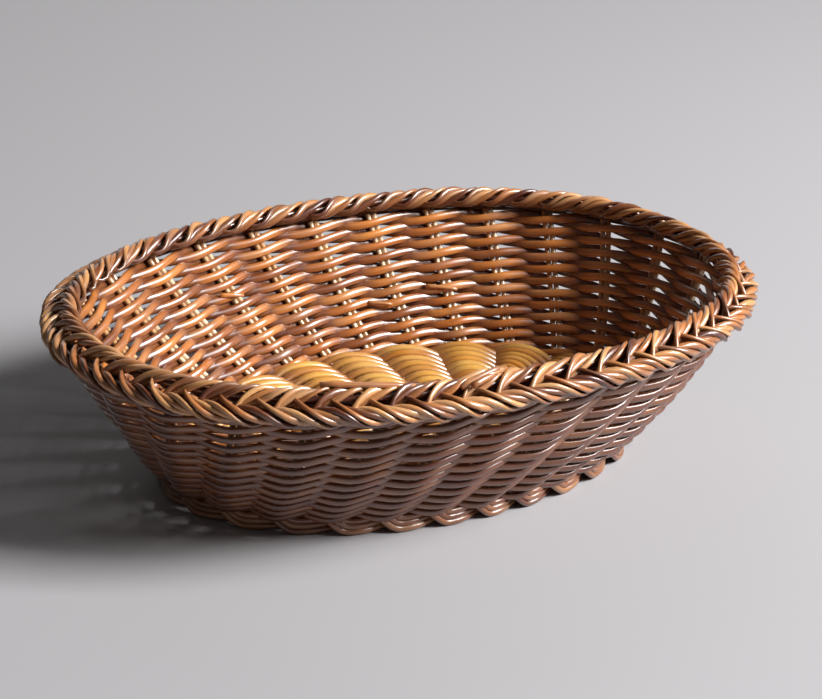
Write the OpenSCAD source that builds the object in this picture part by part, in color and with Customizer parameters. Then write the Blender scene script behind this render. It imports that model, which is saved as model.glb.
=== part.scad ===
/* [Wall] */
// Half of the wall's length at its top, to the middle of the stakes
rim_half_length = 156; // [130:1:190]
// Half of the wall's width at its top, to the middle of the stakes
rim_half_width = 108; // [95:1:130]
// Squareness of the outline at the top, where 2 is an ellipse
rim_squareness = 2.2; // [2:0.1:2.5]
// Half of the wall's length at its bottom, to the middle of the stakes
foot_half_length = 115; // [105:1:135]
// Half of the wall's width at its bottom, to the middle of the stakes
foot_half_width = 74; // [68:1:90]
// Squareness of the outline at the bottom, where 2 is an ellipse
foot_squareness = 2; // [2:0.1:2.3]
// Height of the stakes' tops over the table
wall_top = 72; // [55:1:95]
// Outward bow of each stake between its two ends
wall_bow = 4; // [2:0.5:7]
// Lean of the stakes round the wall, in stake spacings
stake_lean = 1.1; // [0:0.1:1.2]

/* [Stakes] */
// Pairs of stakes round the wall
stake_pairs = 28; // [24:2:30]
// Diameter of one stake
stake_diameter = 2.7; // [2.2:0.1:3]
// Space between the two stakes of a pair
pair_gap = 0.15; // [0.1:0.05:0.3]

/* [Side weave] */
// Diameter of a weaver of the wall
weaver_diameter = 2.4; // [2.2:0.1:2.8]
// How much taller a weaver is where it lies flat against the stakes
weaver_spread = 1.25; // [1:0.05:1.3]
// Space between weavers, and between weavers and stakes
weave_gap = 0.1; // [0.05:0.05:0.3]

/* [Rim plait] */
// Width of one bundle of rods in the plait
plait_band_width = 3.8; // [3.2:0.1:4]
// Thickness of one bundle of rods in the plait
plait_band_thickness = 2.6; // [2:0.1:2.6]
// Swing of a bundle to either side of the plait's middle
plait_swing = 7; // [6.8:0.1:8]
// Rise and fall of a bundle as it crosses the others
plait_rise = 3.5; // [3.5:0.1:4.2]
// Tilt of the plait, outer edge down
plait_tilt = 31; // [15:1:35]
// How much lower a bundle passes under the inner side, down over the stakes' tops
plait_inner_drop = 3.5; // [0:0.5:4]

/* [Foot border] */
// Height of the folded border that the basket stands on
foot_band_width = 7.2; // [5.5:0.1:8]
// Thickness of one folded bundle of the border
foot_band_thickness = 2.8; // [2:0.1:3.2]
// How far the border stands in from the stakes' lower ends
foot_inset = 3; // [1.5:0.5:4]

/* [Base] */
// Height of the middle of the base over the table
base_height = 15; // [13.5:0.5:20]
// Diameter of the sticks that lie across the base
cross_stick_diameter = 4; // [3.6:0.1:4.6]
// Diameter of the sticks that lie along the base
long_stick_diameter = 2.4; // [1.8:0.1:2.6]
// Half of the length of the straight-sided lattice that the sticks make in the middle
lattice_half_length = 55; // [40:1:60]
// Courses woven round the lattice, each a flat pair of rods
base_courses = 7; // [6:1:9]
// Thickness of one course
course_thickness = 2.2; // [1.8:0.1:2.6]

/* [Hidden] */
// Running clearance where one piece is seated on another
seat_gap = 0.3;
// How far the top row of weave tucks up behind the plait's outer edge
top_row_tuck = 2.1;
// Slack of a base course where it bends over a stick
course_slack = 0.25;
// Steps of the table that turns a share of the way round into an angle
turn_steps = 180;

function power(v, e) = sign(v) * pow(abs(v), e);
function oval(a, b, n, t) = [a * power(cos(t), 2 / n), b * power(sin(t), 2 / n)];
function unit(v) = v / norm(v);
function flat(v) = [v.x, v.y, 0];

// The outline half way up the wall, which spaces everything evenly round the basket
mid_half_length = (rim_half_length + foot_half_length) / 2;
mid_half_width = (rim_half_width + foot_half_width) / 2;
mid_squareness = (rim_squareness + foot_squareness) / 2;
function mid_point(i) = oval(mid_half_length, mid_half_width, mid_squareness, 360 * i / turn_steps);
turn_table = [
    for (i = 0, run = 0; i <= turn_steps; run = run + norm(mid_point(i + 1) - mid_point(i)), i = i + 1)
        [run, 360 * i / turn_steps]
];
once_round = turn_table[turn_steps][0];
// Angle of the oval at a share of the way round, which may be below 0 or over 1
function turn(share) = 360 * floor(share) + lookup((share - floor(share)) * once_round, turn_table);

// How far the corner of a stake's slanting end stands out past the end's middle
end_corner = 0.35 * stake_diameter;
wall_bottom = foot_band_width + seat_gap + end_corner;
wall_rise = wall_top - wall_bottom;

function rim_point(k) =
    let (p = oval(rim_half_length, rim_half_width, rim_squareness, turn(k / stake_pairs)))
    [p.x, p.y, wall_top];
function foot_point(k) =
    let (p = oval(foot_half_length, foot_half_width, foot_squareness, turn(k / stake_pairs)))
    [p.x, p.y, wall_bottom];
// A stake's lower and upper end, with k counting pairs round the wall
function stake_foot(k) = foot_point(k - stake_lean / 2);
function stake_top(k) = rim_point(k + stake_lean / 2);
// Level direction round the wall, and the direction out of it, at a pair
function along(k) = unit(flat(stake_foot(k + 0.1) + stake_top(k + 0.1) - stake_foot(k - 0.1) - stake_top(k - 0.1)));
function outward(k) = unit(cross(along(k), stake_top(k) - stake_foot(k)));

// A point of the wall's middle surface, with s from 0 at the bottom to 1 at the top
function wall_point(k, s) =
    (1 - s) * stake_foot(k) + s * stake_top(k) + 4 * s * (1 - s) * wall_bow * outward(k);
// Directions of the surface at that point: round the wall, up the wall and out of it
function round_way(k, s) = unit(wall_point(k + 0.1, s) - wall_point(k - 0.1, s));
function out_way(k, s) = unit(cross(round_way(k, s), wall_point(k, s + 0.01) - wall_point(k, s - 0.01)));
function up_way(k, s) = cross(out_way(k, s), round_way(k, s));

// Sizes of the weave that follow from the rods
closest_pairs = norm(stake_foot(0.5) - stake_foot(-0.5));
pair_step = stake_diameter + pair_gap;
weaver_half = weaver_diameter / 2;
// Beside a weaver's upper and lower edges a leaning stake stands this much further along the wall
lean_shift = weaver_half * weaver_spread * abs((stake_top(0) - stake_foot(0)) * along(0)) / wall_rise;
// A weaver runs straight past a pair, which takes it this much nearer where the wall is most curved
end_radius = foot_half_width * foot_half_width / foot_half_length;
curve_sag = ((pair_step + stake_diameter) / 2 + lean_shift) * closest_pairs / 4 / end_radius;
seat_share = 1 - (pair_step + 2 * lean_shift) / closest_pairs;
weaver_swing = (stake_diameter / 2 + weave_gap + curve_sag + weaver_half) / seat_share;
weaver_lift = (weaver_diameter + weave_gap) / 2;
wall_half = weaver_swing + weaver_half;
row_half = weaver_lift + weaver_half;
steepest = (min(rim_half_length - foot_half_length, rim_half_width - foot_half_width) - 4 * wall_bow) / wall_rise;
row_step_least = (2 * row_half + weave_gap) / norm([1, max(0, steepest)]);

// The plait's middle lies over the stakes' tops: out_shift away from the wall, up_shift higher
plait_half = plait_rise + plait_band_thickness / 2;
under_plait = plait_half + seat_gap + end_corner;
out_shift = under_plait * sin(plait_tilt);
up_shift = under_plait * cos(plait_tilt);
plait_drop = (plait_swing + plait_band_width / 2) * sin(plait_tilt) + plait_half * cos(plait_tilt);

// Heights of the lowest and the highest row of weave
first_row = foot_band_width + seat_gap + row_half;
last_row_limit = wall_top + up_shift - plait_drop - weave_gap - weaver_half * weaver_spread + top_row_tuck;
row_count = floor((last_row_limit - first_row) / row_step_least) + 1;
row_step = (last_row_limit - first_row) / (row_count - 1);

// Every sweep below is a list of rings, all with the same number of points
function ring_faces(from, rings, sides, closed) =
    concat(
        [
            for (i = [0:rings - (closed ? 1 : 2)])
                for (j = [0:sides - 1])
                    let (a = from + i * sides, b = from + ((i + 1) % rings) * sides, m = (j + 1) % sides)
                        each [[a + j, a + m, b + m], [a + j, b + m, b + j]]
        ],
        closed ? [] : [
            [for (j = [sides - 1:-1:0]) from + j],
            [for (j = [0:sides - 1]) from + (rings - 1) * sides + j]
        ]
    );

// Several separate rods as one shape: each item of rods is one list of rings
module sweep(rods, closed) {
    sides = len(rods[0][0]);
    sizes = [for (r = rods) len(r) * sides];
    starts = [for (i = 0, s = 0; i < len(rods); s = s + sizes[i], i = i + 1) s];
    polyhedron(
        points = [for (r = rods) for (ring = r) for (p = ring) p],
        faces = [for (i = [0:len(rods) - 1]) each ring_faces(starts[i], len(rods[i]), sides, closed)],
        convexity = 10
    );
}

// Three corners round a middle, for a rod with one flat side, which faces against u
function split(c, u, v, a, b) = [c + u * a, c - u * a + v * b, c - u * a - v * b];

// One bowed rod between two points: a true arc whose middle stands out by the bow
module bowed_rod(start, end, out, bow, d) {
    chord = norm(end - start);
    radius = (chord * chord / 4 + bow * bow) / (2 * bow);
    level_out = unit(cross(cross(end - start, out), end - start));
    middle = (start + end) / 2 - level_out * (radius - bow);
    x = unit(start - middle);
    z = unit(cross(start - middle, end - middle));
    y = cross(z, x);
    multmatrix([
        [x.x, y.x, z.x, middle.x],
        [x.y, y.y, z.y, middle.y],
        [x.z, y.z, z.z, middle.z],
        [0, 0, 0, 1]
    ])
        rotate_extrude(angle = 2 * asin(chord / 2 / radius), $fn = 256)
            translate([radius, 0])
                circle(d = d, $fn = 32);
}

// Half of the level distance between a pair's rods, which grows where they lean
function pair_shift(k, s) =
    let (round = round_way(k, s))
    round * pair_step / 2 / norm(cross(round, unit(stake_top(k) - stake_foot(k))));

module stake_pair(k) {
    color("peru")
        for (side = [-1, 1])
            bowed_rod(
                stake_foot(k) + pair_shift(k, 0) * side,
                stake_top(k) + pair_shift(k, 1) * side,
                outward(k),
                wall_bow,
                stake_diameter
            );
}

// One weaver of a row: outside at every second pair, inside at the others, rising as it goes out
function weaver(z, phase) =
    let (s = (z - wall_bottom) / wall_rise)
    [
        for (i = [0:2 * stake_pairs - 1])
            let (
                k = i / 2,
                turned = 180 * k + phase,
                c = wall_point(k, s) + out_way(k, s) * weaver_swing * cos(turned)
                    + up_way(k, s) * weaver_lift * sin(turned),
                tall = weaver_half * (abs(cos(turned)) > 0.5 ? weaver_spread : 1)
            )
                split(c, out_way(k, s), up_way(k, s), weaver_half, tall)
    ];

module weave_row(i) {
    color("sienna")
        sweep([for (phase = [0, 180]) weaver(first_row + (i - 1) * row_step, phase)], true);
}

// The bundle of one pair in the plait: up from below, out over the top, under, and in over the top, twice.
// Five bundles lie side by side everywhere, a fifth of a swing apart, and each runs on for five pairs
plait_pairs = 5;
plait_swings = 2;
plait_steps = 8 * plait_swings;
function plait_bundle(k) =
    [
        for (i = [0:plait_steps - 1])
            let (
                w = plait_pairs * i / plait_steps,
                j = k + w,
                t = stake_top(j),
                n = unit(flat(cross(unit(stake_top(j + 0.1) - stake_top(j - 0.1)), [0, 0, 1]))),
                across = n * cos(plait_tilt) - [0, 0, sin(plait_tilt)],
                over = n * sin(plait_tilt) + [0, 0, cos(plait_tilt)],
                turned = 225 + 360 * i / 8,
                side = i == 0 ? 0 : plait_swing * cos(turned),
                lift = -plait_rise * sin(2 * turned) - plait_inner_drop * (turned % 360 == 225 && i > 0 ? 1 : 0),
                c = t + n * out_shift + [0, 0, up_shift] + across * side + over * lift
            )
                split(c, over, -across, plait_band_thickness / 2, plait_band_width / 2)
    ];

module rim_plait() {
    color("burlywood")
        sweep([for (k = [0:stake_pairs - 1]) plait_bundle(k)], false);
}

// One folded bundle, as the run of its upper and its lower edge. Each station is the upper edge's way round
// in pairs, its height, the lower edge's way round and height, and the distance out from the border's middle
foot_out = foot_band_thickness / 2 + weave_gap;
pair_share = (pair_step + stake_diameter) / 2 / closest_pairs;
foot_route = [
    [pair_share, foot_band_width, -pair_share, foot_band_width, foot_inset],
    [pair_share + 0.08, 0.98 * foot_band_width, 0.04, 0.15 * foot_band_width, foot_out + 0.4 * end_corner],
    [0.32, 0.98 * foot_band_width, 0.24, 0, foot_out],
    [0.6, 0.98 * foot_band_width, 0.6, 0, foot_out],
    [0.9, 0.98 * foot_band_width, 0.9, 0, -foot_out],
    [1.22, 0.98 * foot_band_width, 1.22, 0, -foot_out]
];
function foot_way(k) = unit(cross(foot_point(k + 0.1) - foot_point(k - 0.1), [0, 0, 1]));
function foot_edge(k, out, z) = flat(foot_point(k)) + foot_way(k) * (out - foot_inset) + [0, 0, z];
function foot_bundle(k) =
    [
        for (r = foot_route)
            let (
                upper = foot_edge(k + r[0], r[4], r[1]),
                lower = foot_edge(k + r[2], r[4], r[3]),
                thick = foot_way(k + (r[0] + r[2]) / 2) * foot_band_thickness / 2
            )
                [upper + thick, upper - thick, lower - thick, lower + thick]
    ];

module foot_border() {
    color("tan")
        sweep([for (k = [0:stake_pairs - 1]) foot_bundle(k - stake_lean / 2)], false);
}

// The base: sticks crossing in a lattice, the courses woven round it, and the oval edge that meets the wall
cross_sticks = 6;
long_sticks = 4;
stick_ends = 2 * (cross_sticks + long_sticks);
lattice_half_width = long_sticks / 2 * (long_stick_diameter + weave_gap) + 1.5 * long_stick_diameter;
course_swing = 1.05 * (cross_stick_diameter / 2 + weave_gap + course_thickness / 2) + course_slack;
base_half = course_swing + course_thickness / 2;
edge_level = (base_height - base_half - wall_bottom) / wall_rise;
edge_inset = wall_half + seat_gap;
edge_half_length = foot_half_length + (rim_half_length - foot_half_length) * edge_level - edge_inset;
edge_half_width = foot_half_width + (rim_half_width - foot_half_width) * edge_level - edge_inset;

// The lattice's border at a stick end v, counted round from the basket's end and halves in between:
// two sticks' ends fan out over each quarter turn of it, and the cross sticks' ends line its straight sides
function lattice_point(v) =
    let (
        quarter = stick_ends / 4,
        fan = long_sticks / 2,
        from_end = quarter - abs(abs(v - stick_ends / 2) - quarter),
        turned = 90 * min(1, from_end / fan),
        x = (lattice_half_length * min(1, (quarter - from_end) / (quarter - fan)) + lattice_half_width * cos(turned)),
        y = lattice_half_width * sin(turned)
    )
    [
        abs(v - stick_ends / 2) > quarter ? x : -x,
        v > stick_ends / 2 ? -y : y,
        base_height
    ];
// The base's edge at the same stick end
function edge_point(v) =
    let (p = oval(edge_half_length, edge_half_width, foot_squareness, turn(v / stick_ends)))
    [p.x, p.y, base_height];
function base_point(v, share) = lattice_point(v) * (1 - share) + edge_point(v) * share;

// A stick runs from edge to edge, under and over the courses, and straight through the lattice
tip_reach = (base_half - cross_stick_diameter / 2) * (rim_half_width - foot_half_width) / wall_rise;
function tip_point(v) = edge_point(v) + unit(edge_point(v) - lattice_point(v)) * tip_reach;
function stick_rings(route, d) =
    let (last = len(route) - 1)
    [
        for (i = [0:last])
            let (
                a = i > 0 ? unit(route[i] - route[i - 1]) : unit(route[1] - route[0]),
                b = i < last ? unit(route[i + 1] - route[i]) : a,
                way = unit(a + b),
                side = cross(way, [0, 0, 1]) / (way * a)
            )
                [for (j = [0:5]) route[i] + side * d / 2 * cos(60 * j) + [0, 0, d / 2 * sin(60 * j)]]
    ];

// A cross stick, slit in its middle so that the long sticks pass through
module base_cross_stick(i) {
    v = long_sticks / 2 + i - 0.5;
    across = stick_ends - v;
    route = [tip_point(v), lattice_point(v), lattice_point(across), tip_point(across)];
    slit = long_stick_diameter + 2 * weave_gap;
    color("goldenrod")
        difference() {
            sweep([stick_rings(route, cross_stick_diameter)], false);
            translate([route[1].x, 0, base_height])
                cube([2 * cross_stick_diameter, 2 * lattice_half_width, slit], center = true);
        }
}

// A long stick, threaded through the slits and spread at both ends
module base_long_stick(i) {
    v = (long_sticks / 2 - i + 0.5 + stick_ends) % stick_ends;
    across = (1.5 * stick_ends - v) % stick_ends;
    threaded = [
        for (x = [1, -1])
            [x * lattice_point(long_sticks / 2 + 0.5).x, (long_sticks / 2 - i + 0.5) * (long_stick_diameter + weave_gap), base_height]
    ];
    route = concat([tip_point(v), lattice_point(v)], threaded, [lattice_point(across), tip_point(across)]);
    color("goldenrod")
        sweep([stick_rings(route, long_stick_diameter)], false);
}

// One course, over and under the sticks in turn and level between them
function course(c) =
    [
        for (i = [0:2 * stick_ends - 1])
            let (
                v = i / 2,
                inner = base_point(v, (c - 1) / base_courses),
                outer = base_point(v, c / base_courses),
                gap = unit(outer - inner) * weave_gap / 2,
                lift = i % 2 == 0 ? 0 : course_swing * (((i - 1) / 2 + c) % 2 == 0 ? 1 : -1),
                top = [0, 0, lift + course_thickness / 2],
                bottom = [0, 0, lift - course_thickness / 2]
            )
                [inner + gap + bottom, outer - gap + bottom, outer - gap + top, inner + gap + top]
    ];

module base_weave() {
    color("gold")
        sweep([for (c = [1:base_courses]) course(c)], true);
}

for (i = [1:stake_pairs])
    stake_pair(i - 1);
for (i = [1:row_count])
    weave_row(i);
for (i = [1:6])
    base_cross_stick(i);
for (i = [1:4])
    base_long_stick(i);
base_weave();
foot_border();
rim_plait();
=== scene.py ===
import bisect
import math
import random

import bmesh
import bpy
from mathutils import Matrix, Vector


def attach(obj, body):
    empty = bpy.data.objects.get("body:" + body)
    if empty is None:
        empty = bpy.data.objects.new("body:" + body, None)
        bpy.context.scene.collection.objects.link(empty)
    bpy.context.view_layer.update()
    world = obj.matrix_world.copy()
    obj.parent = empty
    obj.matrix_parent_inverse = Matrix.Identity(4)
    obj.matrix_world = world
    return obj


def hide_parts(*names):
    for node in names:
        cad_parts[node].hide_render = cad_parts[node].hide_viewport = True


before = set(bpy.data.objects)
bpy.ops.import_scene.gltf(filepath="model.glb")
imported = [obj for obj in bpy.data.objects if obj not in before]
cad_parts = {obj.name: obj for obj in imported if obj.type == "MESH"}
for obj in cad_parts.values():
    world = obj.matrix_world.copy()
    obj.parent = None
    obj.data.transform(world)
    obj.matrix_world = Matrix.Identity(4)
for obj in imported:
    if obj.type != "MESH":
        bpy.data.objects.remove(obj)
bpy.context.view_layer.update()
print("frame loaded:", len(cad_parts), "nodes")


# The wall's shape, as the solids have it, in metres.

wall = {
    "rimHalfLength": 0.156, "rimHalfWidth": 0.108, "rimSquareness": 2.2,
    "footHalfLength": 0.115, "footHalfWidth": 0.074, "footSquareness": 2.0,
    "bottom": 0.008445, "top": 0.072, "bow": 0.004,
    "lean": 1.1,          # in stake spacings, from the foot to the rim
    "pairs": 28,
    "nearby": 0.1, "nearbyShare": 0.01,   # the short ways round it and up it that directions are taken over
}
anyPhase = (0, 6.28)  # a wave starts anywhere in its turn


def power(value, exponent):
    return math.copysign(abs(value) ** exponent, value)


def oval(halfLength, halfWidth, squareness, degrees):
    t = math.radians(degrees)
    x = halfLength * power(math.cos(t), 2 / squareness)
    y = halfWidth * power(math.sin(t), 2 / squareness)
    return Vector((x, y, 0))


# A place round the wall, k, is counted in stake pairs. They stand evenly along an oval halfway between
# the foot and the rim, and turn gives the angle at which a share of the way round that oval is passed.
def makeTurnTable(steps=720):
    halfLength = (wall["rimHalfLength"] + wall["footHalfLength"]) / 2
    halfWidth = (wall["rimHalfWidth"] + wall["footHalfWidth"]) / 2
    squareness = (wall["rimSquareness"] + wall["footSquareness"]) / 2
    points = [oval(halfLength, halfWidth, squareness, 360 * i / steps) for i in range(steps + 1)]
    runs = [0.0]
    for a, b in zip(points, points[1:]):
        runs.append(runs[-1] + (b - a).length)
    return [run / runs[-1] for run in runs]


turnTable = makeTurnTable()


def turn(share):
    whole = math.floor(share)
    part = share - whole
    i = min(max(bisect.bisect_right(turnTable, part) - 1, 0), len(turnTable) - 2)
    between = (part - turnTable[i]) / (turnTable[i + 1] - turnTable[i])
    return 360 * (whole + (i + between) / (len(turnTable) - 1))


def rimPoint(k):
    p = oval(wall["rimHalfLength"], wall["rimHalfWidth"], wall["rimSquareness"], turn(k / wall["pairs"]))
    return p + Vector((0, 0, wall["top"]))


def footPoint(k):
    p = oval(wall["footHalfLength"], wall["footHalfWidth"], wall["footSquareness"], turn(k / wall["pairs"]))
    return p + Vector((0, 0, wall["bottom"]))


def stakeFoot(k):
    return footPoint(k - wall["lean"] / 2)


def stakeTop(k):
    return rimPoint(k + wall["lean"] / 2)


def level(v):
    return Vector((v.x, v.y, 0))


def levelOutward(edgePlace, k):
    # level, and square to the edge whose points the function edgePlace gives
    step = edgePlace(k + wall["nearby"]) - edgePlace(k - wall["nearby"])
    return level(step.cross(Vector((0, 0, 1)))).normalized()


def outward(k):
    after, before = k + wall["nearby"], k - wall["nearby"]
    step = stakeFoot(after) + stakeTop(after) - stakeFoot(before) - stakeTop(before)
    return level(step).cross(stakeTop(k) - stakeFoot(k)).normalized()


def wallPoint(k, s):
    # s runs from 0 at the bottom of the wall to 1 at its top
    return stakeFoot(k).lerp(stakeTop(k), s) + outward(k) * (4 * s * (1 - s) * wall["bow"])


def wallWays(k, s):
    step, rise = wall["nearby"], wall["nearbyShare"]
    roundWay = (wallPoint(k + step, s) - wallPoint(k - step, s)).normalized()
    outWay = roundWay.cross(wallPoint(k, s + rise) - wallPoint(k, s - rise)).normalized()
    return roundWay, outWay, outWay.cross(roundWay)


def heightShare(z):
    return (z - wall["bottom"]) / (wall["top"] - wall["bottom"])


# Rods: a ring of points extruded along a route.

rod = {
    "longWave": 95, "shortWave": 260,     # how fast the thickness varies along a rod, in radians a metre
    "shortShare": 0.5,
    "taperLength": 0.1,
    "closingRings": 6,                    # a closed rod comes back to its first size over these
    "capInset": 0.25, "capDepth": 0.12,   # the rounding of a cut end, in radii
}


def smoothRoute(points, perSpan):
    # a soft curve through a few chosen points
    route = []
    last = len(points) - 1
    for i in range(last):
        a, b, c, d = points[max(i - 1, 0)], points[i], points[i + 1], points[min(i + 2, last)]
        for j in range(perSpan):
            t = j / perSpan
            second, third = 2 * a - 5 * b + 4 * c - d, 3 * b - a - 3 * c + d
            route.append(0.5 * (2 * b + (c - a) * t + second * t * t + third * t ** 3))
    route.append(points[last].copy())
    return route


def startRods():
    bm = bmesh.new()
    bm.verts.layers.float_vector.new("rodPlace")
    bm.verts.layers.float.new("rodTone")
    # the last layer holds painted shade: how far each point's colour is drawn towards the dark one
    bm.verts.layers.float.new("rodPaintedShade")
    return bm


def rodSize(radius, run, wave, lumps):
    slow = math.sin(run * rod["longWave"] + wave[0])
    quick = math.sin(run * rod["shortWave"] + wave[1])
    return radius * (1 + lumps * slow + rod["shortShare"] * lumps * quick)


def sweepRod(bm, route, radius, rng, sides=8, closed=False, flat=None, paintedShade=None, tone=None,
             lumps=0.05, taper=0.0):
    # flat holds, for each point, the way the rod is pressed and how much: (direction, wide, thick)
    placeLayer = bm.verts.layers.float_vector["rodPlace"]
    toneLayer = bm.verts.layers.float["rodTone"]
    paintedShadeLayer = bm.verts.layers.float["rodPaintedShade"]
    tone = rng.random() if tone is None else tone
    shift = Vector((rng.uniform(0, 9), rng.uniform(0, 9), rng.uniform(0, 9)))
    count = len(route)
    wave = [rng.uniform(*anyPhase) for _ in range(3)]
    run = 0.0
    side = None
    ring = None
    for i, centre in enumerate(route):
        if closed:
            way = route[(i + 1) % count] - route[i - 1]
        else:
            way = route[min(i + 1, count - 1)] - route[max(i - 1, 0)]
        way.normalize()
        if i:
            run += (centre - route[i - 1]).length
        wide = thick = 1.0
        if flat is not None:
            side, wide, thick = flat[i]
            side = side.copy()
        elif side is None:
            side = way.orthogonal()
        side -= way * side.dot(way)
        side.normalize()
        over = way.cross(side)
        size = rodSize(radius, run, wave, lumps)
        size *= 1 - taper * run / rod["taperLength"]
        closing = rod["closingRings"] - count + i
        if closed and closing > 0:
            # the far end takes the size that it started with
            size += (rodSize(radius, 0, wave, lumps) - size) * closing / rod["closingRings"]
        if ring is None:
            made = bmesh.ops.create_circle(bm, segments=sides, radius=size)
            ring = made["verts"]
            edges = list({e for v in ring for e in v.link_edges})
            firstEdges = edges
        else:
            made = bmesh.ops.extrude_edge_only(bm, edges=edges)["geom"]
            edges = [g for g in made if isinstance(g, bmesh.types.BMEdge) and len(g.link_faces) == 1]
            found = {tuple(g.co): g for g in made if isinstance(g, bmesh.types.BMVert)}
            ring = [found[tuple(v.co)] for v in ring]
        for j, v in enumerate(ring):
            angle = 2 * math.pi * j / sides
            c, s = math.cos(angle), math.sin(angle)
            v.co = centre + side * (size * wide * c) + over * (size * thick * s)
            v[placeLayer] = Vector((run, radius * c, radius * s)) + shift
            v[toneLayer] = tone
            # the shade values are painted shade, one for each point of the route
            v[paintedShadeLayer] = 0.0 if paintedShade is None else paintedShade[i]
    if closed:
        bmesh.ops.bridge_loops(bm, edges=edges + firstEdges)
    else:
        for loop in (firstEdges, edges):
            made = bmesh.ops.edgeloop_fill(bm, edges=loop)
            inset, depth = radius * rod["capInset"], radius * rod["capDepth"]
            bmesh.ops.inset_region(bm, faces=made["faces"], thickness=inset, depth=depth)


def finishRods(bm, name, nodes, material):
    bmesh.ops.recalc_face_normals(bm, faces=bm.faces)
    for face in bm.faces:
        face.smooth = True
    mesh = bpy.data.meshes.new(name)
    bm.to_mesh(mesh)
    bm.free()
    piece = bpy.data.objects.new(name, mesh)
    bpy.context.scene.collection.objects.link(piece)
    mesh.materials.append(material)
    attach(piece, "root")
    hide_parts(*nodes)


# Finishes.

grain = {
    # noises: scale a metre, stretch along the rod, detail, shift
    "streaks": (2600, 26, 3, 0), "fine": (7000, 18, 2, 3), "blotches": (60, 1, 3, 5),
    "patches": (22, 1, 1, 8), "worn": (35, 1, 2, 11),
    # where each change of colour starts and is full
    "darkTones": (0.0, 0.45), "lightTones": (0.5, 1.0), "stained": (0.42, 0.68), "bright": (0.5, 0.72),
    "barked": (0.45, 0.75), "greyed": (0.55, 0.72),
    "brightShare": 0.6, "greyByTone": 0.12, "paintedShadeShare": 0.9,
    # roughness: where it starts and is full, and how much it adds
    "fineRough": (0.3, 0.8, 0.16), "blotchRough": (0.35, 0.7, 0.14), "leastRough": 0.2,
    "streakHeight": 0.7, "fineHeight": 0.3, "bumpDepth": 0.0002,
}


def addSocket(group, name, kind, output=False):
    way = "OUTPUT" if output else "INPUT"
    group.interface.new_socket(name=name, in_out=way, socket_type="NodeSocket" + kind)


def makeRodGroup():
    # bark streaks along a rod, blotches of stain, and painted shade that darkens the colour where rods meet,
    # on a weaver's outside and in the weave's hollows
    group = bpy.data.node_groups.new("rodFinish", "ShaderNodeTree")
    for name in ("Light", "Middle", "Dark", "Grey"):
        addSocket(group, name, "Color")
    for name in ("Grey Amount", "Streaks", "Blotches"):
        addSocket(group, name, "Float")
    addSocket(group, "Color", "Color", output=True)
    addSocket(group, "Roughness", "Float", output=True)
    addSocket(group, "Height", "Float", output=True)
    nodes, links = group.nodes, group.links
    given = nodes.new("NodeGroupInput")
    out = nodes.new("NodeGroupOutput")

    def attribute(name):
        node = nodes.new("ShaderNodeAttribute")
        node.attribute_name = name
        return node

    def noise(scale, stretch, detail, shift):
        mapping = nodes.new("ShaderNodeMapping")
        mapping.inputs["Scale"].default_value = (scale / stretch, scale, scale)
        mapping.inputs["Location"].default_value = (shift, shift, shift)
        links.new(place.outputs["Vector"], mapping.inputs["Vector"])
        node = nodes.new("ShaderNodeTexNoise")
        node.inputs["Scale"].default_value = 1
        node.inputs["Detail"].default_value = detail
        links.new(mapping.outputs["Vector"], node.inputs["Vector"])
        return node.outputs["Fac"]

    def ramp(value, low, high, reach=1.0):
        node = nodes.new("ShaderNodeMapRange")
        node.interpolation_type = "SMOOTHSTEP"
        node.inputs["From Min"].default_value = low
        node.inputs["From Max"].default_value = high
        node.inputs["To Max"].default_value = reach
        links.new(value, node.inputs["Value"])
        return node.outputs["Result"]

    def reckon(kind, a, b):
        node = nodes.new("ShaderNodeMath")
        node.operation = kind
        for socket, value in zip(node.inputs, (a, b)):
            if isinstance(value, (int, float)):
                socket.default_value = value
            else:
                links.new(value, socket)
        return node.outputs[0]

    def mix(factor, a, b):
        node = nodes.new("ShaderNodeMix")
        node.data_type = "RGBA"
        node.clamp_factor = True
        links.new(factor, node.inputs[0])
        links.new(a, node.inputs[6])
        links.new(b, node.inputs[7])
        return node.outputs[2]

    place = attribute("rodPlace")
    tone = attribute("rodTone").outputs["Fac"]
    paintedShade = attribute("rodPaintedShade").outputs["Fac"]
    streaks = noise(*grain["streaks"])
    fine = noise(*grain["fine"])
    blotches = noise(*grain["blotches"])
    patches = noise(*grain["patches"])

    colour = mix(ramp(tone, *grain["darkTones"]), given.outputs["Dark"], given.outputs["Middle"])
    colour = mix(ramp(tone, *grain["lightTones"]), colour, given.outputs["Light"])
    stain = reckon("MULTIPLY", ramp(blotches, *grain["stained"]), given.outputs["Blotches"])
    colour = mix(stain, colour, given.outputs["Dark"])
    bright = reckon("MULTIPLY", ramp(patches, *grain["bright"]), grain["brightShare"])
    colour = mix(bright, colour, given.outputs["Light"])
    bark = reckon("MULTIPLY", ramp(streaks, *grain["barked"]), given.outputs["Streaks"])
    colour = mix(bark, colour, given.outputs["Dark"])
    worn = reckon("ADD", noise(*grain["worn"]), reckon("MULTIPLY", tone, grain["greyByTone"]))
    grey = reckon("MULTIPLY", ramp(worn, *grain["greyed"]), given.outputs["Grey Amount"])
    colour = mix(grey, colour, given.outputs["Grey"])
    # painted shade: the colour is drawn towards the dark one by each point's shade value
    paintedShadeMix = reckon("MULTIPLY", paintedShade, grain["paintedShadeShare"])
    colour = mix(paintedShadeMix, colour, given.outputs["Dark"])
    links.new(colour, out.inputs["Color"])

    rough = reckon("ADD", ramp(fine, *grain["fineRough"]), ramp(blotches, *grain["blotchRough"]))
    links.new(reckon("ADD", rough, grain["leastRough"]), out.inputs["Roughness"])
    bumps = reckon("MULTIPLY", streaks, grain["streakHeight"])
    height = reckon("ADD", bumps, reckon("MULTIPLY", fine, grain["fineHeight"]))
    links.new(height, out.inputs["Height"])
    return group


rodGroup = makeRodGroup()


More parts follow.
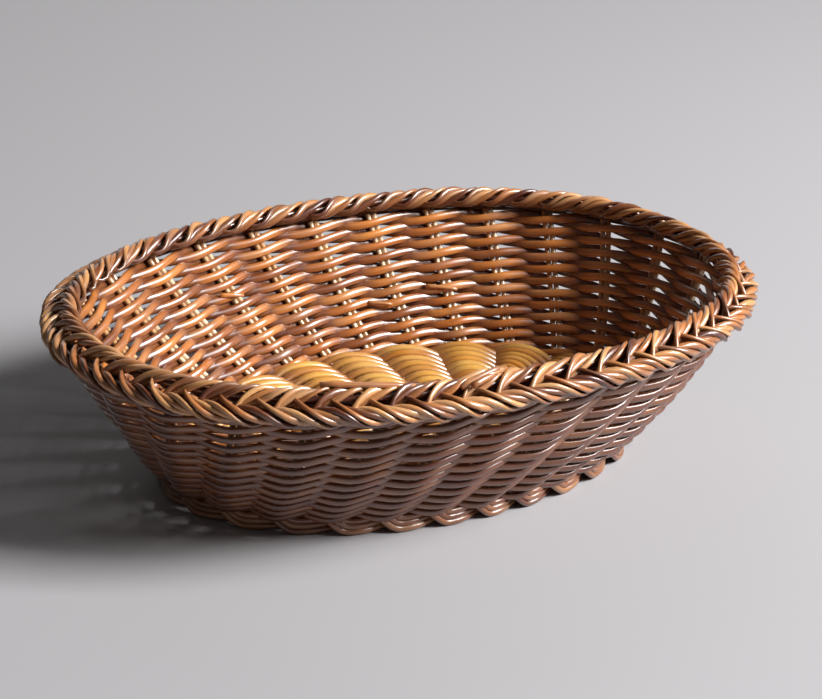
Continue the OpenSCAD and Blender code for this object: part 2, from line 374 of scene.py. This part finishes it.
def rodMaterial(name, look):
    material = bpy.data.materials.new(name)
    material.use_nodes = True
    nodes, links = material.node_tree.nodes, material.node_tree.links
    shader = nodes["Principled BSDF"]
    finish = nodes.new("ShaderNodeGroup")
    finish.node_tree = rodGroup
    for socket in ("Light", "Middle", "Dark", "Grey"):
        finish.inputs[socket].default_value = (*look[socket], 1)
    for socket in ("Grey Amount", "Streaks", "Blotches"):
        finish.inputs[socket].default_value = look[socket]
    links.new(finish.outputs["Color"], shader.inputs["Base Color"])
    links.new(finish.outputs["Roughness"], shader.inputs["Roughness"])
    bump = nodes.new("ShaderNodeBump")
    bump.inputs["Strength"].default_value = look["bump"]
    bump.inputs["Distance"].default_value = grain["bumpDepth"]
    links.new(finish.outputs["Height"], bump.inputs["Height"])
    links.new(bump.outputs["Normal"], shader.inputs["Normal"])
    shader.inputs["Coat Weight"].default_value = look["varnish"]
    shader.inputs["Coat Roughness"].default_value = look["spread"]
    shader.inputs["Coat IOR"].default_value = look["coatIor"]
    return material


weaverLook = {
    "Light": (0.66, 0.24, 0.046), "Middle": (0.47, 0.14, 0.022), "Dark": (0.085, 0.016, 0.005),
    "Grey": (0.40, 0.23, 0.14), "Grey Amount": 0.3, "Streaks": 0.4, "Blotches": 0.38,
    "bump": 0.4, "varnish": 0.72, "spread": 0.34, "coatIor": 1.75,
}
stakeLook = dict(weaverLook, Middle=(0.62, 0.33, 0.13), Light=(0.86, 0.64, 0.40), Blotches=0.3)
borderLook = dict(weaverLook, Middle=(0.47, 0.17, 0.047), Light=(0.73, 0.37, 0.135), Blotches=0.45)
baseLook = {
    "Light": (0.88, 0.48, 0.09), "Middle": (0.64, 0.24, 0.018), "Dark": (0.20, 0.055, 0.008),
    "Grey": (0.62, 0.42, 0.22), "Grey Amount": 0.15, "Streaks": 0.3, "Blotches": 0.2,
    "bump": 0.3, "varnish": 1.0, "spread": 0.38, "coatIor": 1.8,
}
weaverFinish = rodMaterial("weaverWillow", weaverLook)
stakeFinish = rodMaterial("stakeCane", stakeLook)
borderFinish = rodMaterial("borderWillow", borderLook)
baseFinish = rodMaterial("baseCane", baseLook)
print("finishes ready")


# Stakes: pairs of rods that lean round the wall.

stake = {
    "radius": 0.00135, "step": 0.00285, "sides": 10, "lumps": 0.03, "tones": (0.35, 1),
    "stretches": 14, "below": 0.02,       # it starts this share of the wall's height under the wall
    "seed": 100,
}


def pairShift(k, s):
    roundWay = wallWays(k, s)[0]
    lean = (stakeTop(k) - stakeFoot(k)).normalized()
    return roundWay * (stake["step"] / 2 / roundWay.cross(lean).length)


def makeStakePair(i):
    k = i - 1
    rng = random.Random(stake["seed"] + i)
    bm = startRods()
    last = stake["stretches"]
    shares = [-stake["below"] + (1 + stake["below"]) * j / last for j in range(last + 1)]
    for side in (-1, 1):
        route = [wallPoint(k, s) + pairShift(k, s) * side for s in shares]
        sweepRod(bm, route, stake["radius"], rng, sides=stake["sides"], lumps=stake["lumps"],
                 tone=rng.uniform(*stake["tones"]))
    finishRods(bm, f"stakePair_{i}", [f"stake_pair_{i}"], stakeFinish)


for i in range(1, wall["pairs"] + 1):
    makeStakePair(i)
print("stakes made")


# Side weave: two weavers to a row, twined round the pairs.

weave = {
    "radius": 0.00150, "sizes": (0.99, 1.07), "sides": 10, "tones": (0.22, 1),
    "swing": 0.00300, "lift": 0.00145,    # how far a weaver passes out and in, and up and down
    "bias": 0.00062,                      # how far over its row it lies outside, and under it inside
    "soften": 0.2,                        # how much of the swing is drawn towards the pairs
    "snap": 0.8,                          # how sharply a weaver tips over at a pair
    # how tall it is pressed, between two pairs and over one, and how quickly that changes
    "tallBetween": 1.34, "tallOver": 1.22,
    "pressRate": 1.9, "pressFade": 0.8, "pressLeast": 0.1,
    "thick": 0.84,                        # how far it is pressed flat against the wall
    # painted shade: a weaver is drawn darker where it crosses between pairs, and along its outside runs,
    # drawn as the shaded outside of the wall
    "crossingPaintedShade": 0.9, "crossingFade": 1.7, "outsidePaintedShade": 1.0,
    "drift": 0.00013,                     # how far a row wanders up and down on its way round
    "strokeUp": (-0.0002, 0.0002), "strokeOut": (-0.0002, 0.0003),
    "driftWaves": (3, 5),                 # how often in one way round
    "firstRow": 0.00995, "lastRow": 0.0689833, "rows": 13,
    "perSpacing": 8, "seed": 300,
}


def weaverRoute(z, phase, rng):
    route, flat, paintedShade = [], [], []
    slow = [rng.uniform(*anyPhase) for _ in range(4)]
    count = wall["pairs"] * weave["perSpacing"]
    ranges = (weave["strokeUp"], weave["strokeOut"])
    strokes = [[rng.uniform(*way) for way in ranges] for _ in range(wall["pairs"])]
    for i in range(count):
        k = i / weave["perSpacing"]
        around = 2 * math.pi * k / wall["pairs"]
        drift = weave["drift"] * sum(math.sin(n * around + a) for n, a in zip(weave["driftWaves"], slow))
        s = heightShare(z + drift)
        roundWay, outWay, upWay = wallWays(k, s)
        turned = math.pi * k + phase
        outside, rising = math.cos(turned), math.sin(turned)   # outside is -1 where it is inside a pair
        nearest = round(k) % wall["pairs"]
        own = math.cos(math.pi * (k - round(k))) ** 2
        swing = weave["swing"] * outside * (1 - weave["soften"] + weave["soften"] * outside * outside)
        out = swing + (1 if outside > 0 else -1) * strokes[nearest][1] * own
        tipped = math.tanh(weave["snap"] * rising) / math.tanh(weave["snap"])
        up = weave["lift"] * tipped + weave["bias"] * outside + strokes[nearest][0] * own
        route.append(wallPoint(k, s) + outWay * out + upWay * up)
        pressed = min(1, weave["pressRate"] * (1 - abs(outside)) ** weave["pressFade"] + weave["pressLeast"])
        tall = weave["tallOver"] + (weave["tallBetween"] - weave["tallOver"]) * pressed
        flat.append((upWay, tall, weave["thick"]))
        # painted shade, deepest as the weaver crosses between pairs and on its outside runs
        paintedCrossingShade = weave["crossingPaintedShade"] * (1 - abs(outside)) ** weave["crossingFade"]
        paintedShade.append(min(1, paintedCrossingShade + weave["outsidePaintedShade"] * max(0, outside)))
    return route, flat, paintedShade


# Where a weaver's cut end lies free on the inside.

loose = {
    # row, first and last place in pairs round the wall
    "ends": ((7, 4.40, 3.86), (6, 5.62, 5.22), (9, 8.30, 7.95), (5, 26.4, 26.0), (10, 19.6, 20.0)),
    "above": 0.0004, "fall": 0.0022,      # where it starts above its row, and how far it comes down
    "inside": 0.0020, "bulge": 0.0032, "bend": 1.9,
    "stretches": 6, "size": 0.8, "lumps": 0.15, "tone": 1.0, "taper": 2.5,
}


def addLooseEnd(bm, z, start, end, rng):
    # the end leaves the weave between two pairs, and lies over the stroke beside it
    route = []
    for j in range(loose["stretches"] + 1):
        t = j / loose["stretches"]
        k = start + (end - start) * t
        s = heightShare(z + loose["above"] - loose["fall"] * t)
        inward = loose["inside"] + loose["bulge"] * math.sin(loose["bend"] * t)
        route.append(wallPoint(k, s) - wallWays(k, s)[1] * inward)
    sweepRod(bm, route, weave["radius"] * loose["size"], rng, sides=weave["sides"], lumps=loose["lumps"],
             tone=loose["tone"], taper=loose["taper"])


def makeWeaveRow(i):
    rng = random.Random(weave["seed"] + i)
    height = weave["lastRow"] - weave["firstRow"]
    z = weave["firstRow"] + height * (i - 1) / (weave["rows"] - 1)
    bm = startRods()
    for phase in (0, math.pi):
        route, flat, paintedShade = weaverRoute(z, phase, rng)
        sweepRod(bm, route, weave["radius"] * rng.uniform(*weave["sizes"]), rng, sides=weave["sides"],
                 closed=True, flat=flat, paintedShade=paintedShade, tone=rng.uniform(*weave["tones"]))
    for row, start, end in loose["ends"]:
        if row == i:
            addLooseEnd(bm, z, start, end, rng)
    finishRods(bm, f"weaveRow_{i}", [f"weave_row_{i}"], weaverFinish)


for i in range(1, weave["rows"] + 1):
    makeWeaveRow(i)
print("side weave made")


# Rim plait: each pair's bundle goes out over the top, under, and in over the top.

plait = {
    "swing": 0.0071, "rise": 0.0027, "tilt": 31, "seat": 0.0049,
    "innerDrop": 0.0012, "innerReach": 1.4,   # how much lower a bundle passes along the inner edge
    "start": 225, "entry": 5,             # where in its swing a bundle starts, and how fast it comes in
    "flip": 0.97, "flipDegrees": 75.9, "flipCentre": 315,   # how its flat side turns over at the edges
    "cycle": 2.5,                         # pairs passed in one swing out and in
    "length": 5.1, "lengthVaries": 0.1,   # pairs passed by the whole bundle
    "perSpacing": 12, "seed": 700,
    "twoRods": (-0.62, 0.62), "threeRods": (-0.97, 0, 0.97),   # where rods lie across a bundle
    "twoShare": 0.3, "threeSize": 0.85,
    "rodRadius": 0.00132, "rodSizes": (0.92, 1.08), "rodSides": 8, "rodLumps": 0.08,
    "spread": 0.00232, "spreadVaries": (1.0, 1.15), "pressWide": 1.14, "pressThick": 0.84,
    "spreadAtStart": 0.5, "spreadPoints": 8,
    "wander": 0.0002, "wanderAcross": 0.6, "wanderUp": 0.4,
    # painted shade is laid on each rod where it tucks down into the wall
    "tuck": 0.94, "tuckPaintedShade": 0.6,       # each rod starts at this share of the wall's height
    # dark rods that lie hidden along the inside of the plait, drawn in the darkest tone with full painted
    # shade so that they read as shadow in its gaps: places across it and up from its middle
    "cores": ((-0.0042, -0.0006), (0.0042, 0.0002), (0.0026, -0.0037)),
    "coreRadius": 0.0016, "coreShadowTone": 0.1, "corePerSpacing": 6,
    # the cut ends left at the join: first and last place, how far across and how high each end lies
    "stubs": (
        (18.95, 19.45, -0.0052, -0.0082, 0.0018, 0.0046),
        (19.02, 19.60, -0.0030, -0.0074, 0.0030, 0.0058),
        (19.75, 19.30, -0.0086, -0.0040, 0.0030, 0.0050),
        (19.55, 19.15, -0.0060, -0.0012, 0.0040, 0.0056),
        (18.40, 17.08, -0.0066, -0.0084, 0.0022, 0.0036),
    ),
    "stubBow": 0.0008, "stubStretches": 5, "stubSizes": (0.9, 1.1), "stubSides": 10, "stubLumps": 0.1,
    "stubTones": (0.2, 1),
}


def plaitFrame(j):
    n = levelOutward(stakeTop, j)
    tilt = math.radians(plait["tilt"])
    across = n * math.cos(tilt) - Vector((0, 0, math.sin(tilt)))
    over = n * math.sin(tilt) + Vector((0, 0, math.cos(tilt)))
    return stakeTop(j) + over * plait["seat"], across, over


def plaitTurn(w):
    # how far into its swing a bundle is after w pairs
    return math.radians(plait["start"] + 360 * w / plait["cycle"])


def plaitPoint(k, w):
    # a bundle's middle, and the direction that its flat side faces
    centre, across, over = plaitFrame(k + w)
    t = plaitTurn(w)
    drop = plait["innerDrop"] * max(0, -math.cos(t)) * max(0, math.sin(2 * t)) * plait["innerReach"]
    side = plait["swing"] * math.cos(t) * min(1, max(0, w * plait["entry"]))
    rise = -plait["rise"] * math.sin(2 * t) - drop
    flip = math.degrees(math.asin(plait["flip"] * math.sin(t - math.radians(plait["flipCentre"]))))
    facing = math.radians(90 - 90 / plait["flipDegrees"] * 2 * flip)
    normal = across * math.cos(facing) + over * math.sin(facing)
    return centre + across * side + over * rise, normal


def addPlaitRod(bm, k, place, size, length, spine, rng):
    steps = len(spine) - 1
    route, paintedShade, flat = [], [], []
    spread = plait["spread"] * rng.uniform(*plait["spreadVaries"])
    wander = rng.uniform(*anyPhase)
    for j, (centre, normal) in enumerate(spine):
        before = spine[max(j - 1, 0)][0]
        after = spine[min(j + 1, steps)][0]
        lateral = (after - before).cross(normal).normalized()
        grown = min(1, plait["spreadAtStart"] + j / plait["spreadPoints"])
        aside = plait["wander"] * math.sin(wander + plait["wanderAcross"] * j)
        lifted = plait["wander"] * math.sin(wander + plait["wanderUp"] * j)
        route.append(centre + lateral * (place * spread * grown + aside) + normal * lifted)
        flat.append((lateral, plait["pressWide"], plait["pressThick"]))
        # painted shade, heaviest where the bundle dips lowest and lightest as it crosses over the top
        paintedShade.append((0.5 + 0.5 * math.sin(2 * plaitTurn(length * j / steps))) ** 2)
    low = wallPoint(k, plait["tuck"]) + pairShift(k, plait["tuck"]) * place
    route = [low, low.lerp(route[0], 0.5)] + route
    paintedShade = [plait["tuckPaintedShade"]] * 2 + paintedShade
    flat = [flat[0]] * 2 + flat
    sweepRod(bm, route, plait["rodRadius"] * size * rng.uniform(*plait["rodSizes"]), rng,
             sides=plait["rodSides"], flat=flat, paintedShade=paintedShade, lumps=plait["rodLumps"])


def addPlaitBundle(bm, k, rng):
    length = plait["length"] + rng.uniform(-plait["lengthVaries"], plait["lengthVaries"])
    steps = int(length * plait["perSpacing"])
    spine = [plaitPoint(k, length * j / steps) for j in range(steps + 1)]
    two = rng.random() < plait["twoShare"]
    for place in plait["twoRods"] if two else plait["threeRods"]:
        addPlaitRod(bm, k, place, 1 if two else plait["threeSize"], length, spine, rng)


def addPlaitCore(bm, across0, over0, rng):
    route = []
    for j in range(wall["pairs"] * plait["corePerSpacing"]):
        centre, across, over = plaitFrame(j / plait["corePerSpacing"])
        route.append(centre + across * across0 + over * over0)
    # the core rods carry full painted shade all along
    sweepRod(bm, route, plait["coreRadius"], rng, sides=plait["rodSides"], closed=True,
             paintedShade=[1] * len(route), tone=plait["coreShadowTone"])


def addPlaitStub(bm, start, end, across0, across1, over0, over1, rng):
    route = []
    for j in range(plait["stubStretches"] + 1):
        t = j / plait["stubStretches"]
        centre, across, over = plaitFrame(start + (end - start) * t)
        bow = plait["stubBow"] * math.sin(math.pi * t)
        aside, lifted = across0 + (across1 - across0) * t, over0 + (over1 - over0) * t + bow
        route.append(centre + across * aside + over * lifted)
    sweepRod(bm, route, plait["rodRadius"] * rng.uniform(*plait["stubSizes"]), rng, sides=plait["stubSides"],
             lumps=plait["stubLumps"], tone=rng.uniform(*plait["stubTones"]))


def makeRimPlait():
    rng = random.Random(plait["seed"])
    bm = startRods()
    for k in range(wall["pairs"]):
        addPlaitBundle(bm, k, rng)
    for across0, over0 in plait["cores"]:
        addPlaitCore(bm, across0, over0, rng)
    for stub in plait["stubs"]:
        addPlaitStub(bm, *stub, rng)
    finishRods(bm, "rimPlait", ["rim_plait"], borderFinish)


makeRimPlait()
print("rim plait made")


# Foot border: each bundle comes out under the weave, runs on and tucks in behind the next.

foot = {
    "inset": 0.003, "out": 0.0015, "bulge": 0.0046,
    "ranks": (0.0018, 0.0043, 0.0067),    # heights of the rods that lie above each other in a bundle
    "high": 0.0110, "bend": 0.0091,       # where a rod leaves the weave, and where it turns down
    "rodRadius": 0.0016, "rodSizes": (0.86, 1.0), "sides": 8, "perSpan": 4,
    # painted shade is laid evenly over every rod of the foot border
    "paintedShade": 0.6, "tones": (0.1, 0.7), "seed": 900,
}


def footPlace(k, out, z):
    return level(footPoint(k)) + levelOutward(footPoint, k) * (out - foot["inset"]) + Vector((0, 0, z))


def footStations(rank, z):
    # place in pairs, height, and how far out
    bulge = foot["bulge"]
    return [
        (0.11 * rank - 0.30, foot["high"], 0.5 * bulge),
        (0.11 * rank - 0.13, foot["bend"], 0.9 * bulge),
        (0.09 * rank + 0.07, z + 0.45 * (foot["bend"] - z), bulge + 0.0006),
        (0.04 * rank + 0.30, z, bulge + 0.0002),
        (0.62, z, 0.9 * bulge),
        (0.92, z, 0.35 * bulge),
        (1.20, z, -foot["out"]),
    ]


def makeFootBorder():
    rng = random.Random(foot["seed"])
    bm = startRods()
    for i in range(wall["pairs"]):
        k = i - wall["lean"] / 2
        for rank, z in enumerate(foot["ranks"]):
            points = [footPlace(k + w, out, height) for w, height, out in footStations(rank, z)]
            route = smoothRoute(points, foot["perSpan"])
            sweepRod(bm, route, foot["rodRadius"] * rng.uniform(*foot["rodSizes"]), rng, sides=foot["sides"],
                     paintedShade=[foot["paintedShade"]] * len(route), tone=rng.uniform(*foot["tones"]))
    finishRods(bm, "footBorder", ["foot_border"], borderFinish)


makeFootBorder()
print("foot border made")


# Base: sticks, and courses of pairing woven round them.

base = {
    "height": 0.015, "crossSticks": 6, "longSticks": 4,
    "crossRadius": 0.002, "crossSides": 12, "crossTones": (0.3, 0.9), "crossPerSpan": 2, "crossSeed": 40,
    "longRadius": 0.0012, "longSides": 8, "longStep": 0.0025, "longPerSpan": 3, "longSeed": 60,
    "stickLumps": 0.02,
    "latticeHalfLength": 0.055, "latticeHalfWidth": 0.0086,
    # its edge, as the solids have it: the wall's oval at their underside, and this far inside it
    "underside": 0.01029, "edgeInset": 0.0053062, "tipReach": 0.00145,
    "courses": 9, "perStick": 7,
    "strandRadius": 0.00196, "strandSizes": (0.95, 1.05), "strandSides": 10, "strandTones": (0.4, 1),
    "strandWide": 1.10, "strandThick": 0.86,   # pressed flat against the strands beside it
    "fullness": 0.25,                          # how much of a strand's swing is drawn out between sticks
    # painted shade where a strand dips between the sticks, from over one to under the next
    "crossingPaintedShade": 1.3,
}
stickEnds = 2 * (base["crossSticks"] + base["longSticks"])   # a place round the base, v, is counted in these


def latticePoint(v):
    v %= stickEnds
    quarter = stickEnds / 4
    fan = base["longSticks"] / 2
    fromEnd = quarter - abs(abs(v - stickEnds / 2) - quarter)
    turned = math.radians(90 * min(1, fromEnd / fan))
    straight = base["latticeHalfLength"] * min(1, (quarter - fromEnd) / (quarter - fan))
    x = straight + base["latticeHalfWidth"] * math.cos(turned)
    y = base["latticeHalfWidth"] * math.sin(turned)
    right, near = abs(v - stickEnds / 2) > quarter, v > stickEnds / 2
    return Vector((x if right else -x, -y if near else y, base["height"]))


def edgePoint(v):
    flare = heightShare(base["underside"])
    halfLength = wall["footHalfLength"] + (wall["rimHalfLength"] - wall["footHalfLength"]) * flare
    halfWidth = wall["footHalfWidth"] + (wall["rimHalfWidth"] - wall["footHalfWidth"]) * flare
    inset = base["edgeInset"]
    p = oval(halfLength - inset, halfWidth - inset, wall["footSquareness"], turn(v / stickEnds))
    return p + Vector((0, 0, base["height"]))


def basePoint(v, share):
    return latticePoint(v).lerp(edgePoint(v), share)


def tipPoint(v):
    return edgePoint(v) + (edgePoint(v) - latticePoint(v)).normalized() * base["tipReach"]


def makeCrossStick(i):
    rng = random.Random(base["crossSeed"] + i)
    v = base["longSticks"] / 2 + i - 0.5
    opposite = stickEnds - v
    ends = [tipPoint(v), latticePoint(v), latticePoint(opposite), tipPoint(opposite)]
    route = [ends[0]]
    for a, b in zip(ends, ends[1:]):
        route += [a.lerp(b, 0.5), b]
    bm = startRods()
    sweepRod(bm, smoothRoute(route, base["crossPerSpan"]), base["crossRadius"], rng, sides=base["crossSides"],
             lumps=base["stickLumps"], tone=rng.uniform(*base["crossTones"]))
    finishRods(bm, f"baseCrossStick_{i}", [f"base_cross_stick_{i}"], baseFinish)


def makeLongStick(i):
    rng = random.Random(base["longSeed"] + i)
    fromMiddle = base["longSticks"] / 2 - i + 0.5
    v = fromMiddle % stickEnds
    opposite = (1.5 * stickEnds - v) % stickEnds
    x = latticePoint(base["longSticks"] / 2 + 0.5).x
    threaded = [Vector((side * x, fromMiddle * base["longStep"], base["height"])) for side in (1, -1)]
    route = [tipPoint(v), latticePoint(v), *threaded, latticePoint(opposite), tipPoint(opposite)]
    bm = startRods()
    sweepRod(bm, smoothRoute(route, base["longPerSpan"]), base["longRadius"], rng, sides=base["longSides"],
             lumps=base["stickLumps"])
    finishRods(bm, f"baseLongStick_{i}", [f"base_long_stick_{i}"], baseFinish)


def strandRoute(share, phase):
    route, flat, paintedShade = [], [], []
    swing = base["crossRadius"] + base["strandRadius"] * base["strandThick"]
    for i in range(stickEnds * base["perStick"]):
        v = i / base["perStick"]
        turned = math.pi * (v - 0.5) + phase
        above, beside = math.cos(turned), math.sin(turned)   # above is -1 where it is under a stick
        up = swing * above * (1 + base["fullness"] - base["fullness"] * above * above)
        slack = 0.5 * beside / base["courses"]
        route.append(basePoint(v, share + slack) + Vector((0, 0, up)))
        flat.append((edgePoint(v) - latticePoint(v), base["strandWide"], base["strandThick"]))
        # painted shade, deepest where the strand passes between two sticks
        paintedShade.append(min(1, base["crossingPaintedShade"] * (1 - abs(above))))
    return route, flat, paintedShade


def makeBaseWeave():
    bm = startRods()
    for course in range(base["courses"]):
        for number, phase in enumerate((0, math.pi)):
            route, flat, paintedShade = strandRoute((course + 0.5) / base["courses"], phase)
            rng = random.Random(course * 2 + number)
            # each strand is swept by itself, which is quicker, and then added to the rest
            part = startRods()
            radius = base["strandRadius"] * rng.uniform(*base["strandSizes"])
            sweepRod(part, route, radius, rng, sides=base["strandSides"], closed=True, flat=flat, paintedShade=paintedShade,
                     tone=rng.uniform(*base["strandTones"]))
            mesh = bpy.data.meshes.new("strand")
            part.to_mesh(mesh)
            part.free()
            bm.from_mesh(mesh)
            bpy.data.meshes.remove(mesh)
    finishRods(bm, "baseWeave", ["base_weave"], baseFinish)


for i in range(1, base["crossSticks"] + 1):
    makeCrossStick(i)
for i in range(1, base["longSticks"] + 1):
    makeLongStick(i)
makeBaseWeave()
print("base made")


# Floor, light and camera.

studio = {
    "floor": (0.38, 0.37, 0.38), "floorSize": 6, "floorRoughness": 0.9,
    "world": (1.0, 0.98, 0.95), "worldStrength": 0.05,
    "target": (0, 0, 0.04),               # what the lamps face
    "keyPower": 132, "keyPlace": (1.40, -1.28, 1.52), "keySize": 0.9,
    "backPower": 4, "backPlace": (0.5, 1.5, 0.9), "backSize": 1.2,
    "fillPower": 0.2, "fillPlace": (-0.6, -1.1, 0.9), "fillSize": 1.2,
}


def makeFloor():
    bm = bmesh.new()
    bmesh.ops.create_grid(bm, x_segments=2, y_segments=2, size=studio["floorSize"])
    mesh = bpy.data.meshes.new("floor")
    bm.to_mesh(mesh)
    bm.free()
    floor = bpy.data.objects.new("floor", mesh)
    bpy.context.scene.collection.objects.link(floor)
    material = bpy.data.materials.new("paleFloor")
    material.use_nodes = True
    shader = material.node_tree.nodes["Principled BSDF"]
    shader.inputs["Base Color"].default_value = (*studio["floor"], 1)
    shader.inputs["Roughness"].default_value = studio["floorRoughness"]
    mesh.materials.append(material)


def makeLight(name):
    data = bpy.data.lights.new(name, "AREA")
    data.energy = studio[name + "Power"]
    data.size = studio[name + "Size"]
    light = bpy.data.objects.new(name, data)
    light.location = studio[name + "Place"]
    facing = Vector(studio["target"]) - light.location
    light.rotation_euler = facing.to_track_quat("-Z", "Y").to_euler()
    bpy.context.scene.collection.objects.link(light)


def makeWorld():
    world = bpy.data.worlds.new("studio")
    bpy.context.scene.world = world
    world.use_nodes = True
    background = world.node_tree.nodes["Background"]
    background.inputs["Color"].default_value = (*studio["world"], 1)
    background.inputs["Strength"].default_value = studio["worldStrength"]


view = {
    "azimuth": -34.16, "elevation": 22.44, "distance": 1.089, "roll": 2.755,
    "target": (-0.00958, -0.01706, 0.05667), "lens": 109.5, "sensor": 36, "nearest": 0.01,
}


def makeCamera():
    az, el, roll = (math.radians(view[name]) for name in ("azimuth", "elevation", "roll"))
    back = Vector((math.sin(az) * math.cos(el), -math.cos(az) * math.cos(el), math.sin(el)))
    right = Vector((math.cos(az), math.sin(az), 0))
    up = back.cross(right)
    turnedRight = right * math.cos(roll) + up * math.sin(roll)
    turnedUp = up * math.cos(roll) - right * math.sin(roll)
    data = bpy.data.cameras.new("camera")
    data.lens = view["lens"]
    data.sensor_width = view["sensor"]
    data.clip_start = view["nearest"]
    camera = bpy.data.objects.new("camera", data)
    bpy.context.scene.collection.objects.link(camera)
    rotation = Matrix((turnedRight, turnedUp, back)).transposed()
    place = Vector(view["target"]) + back * view["distance"]
    camera.matrix_world = Matrix.Translation(place) @ rotation.to_4x4()
    bpy.context.scene.camera = camera


makeFloor()
makeWorld()
for lamp in ("key", "back", "fill"):
    makeLight(lamp)
makeCamera()
bpy.context.scene.view_settings.view_transform = "Standard"
print("studio ready")
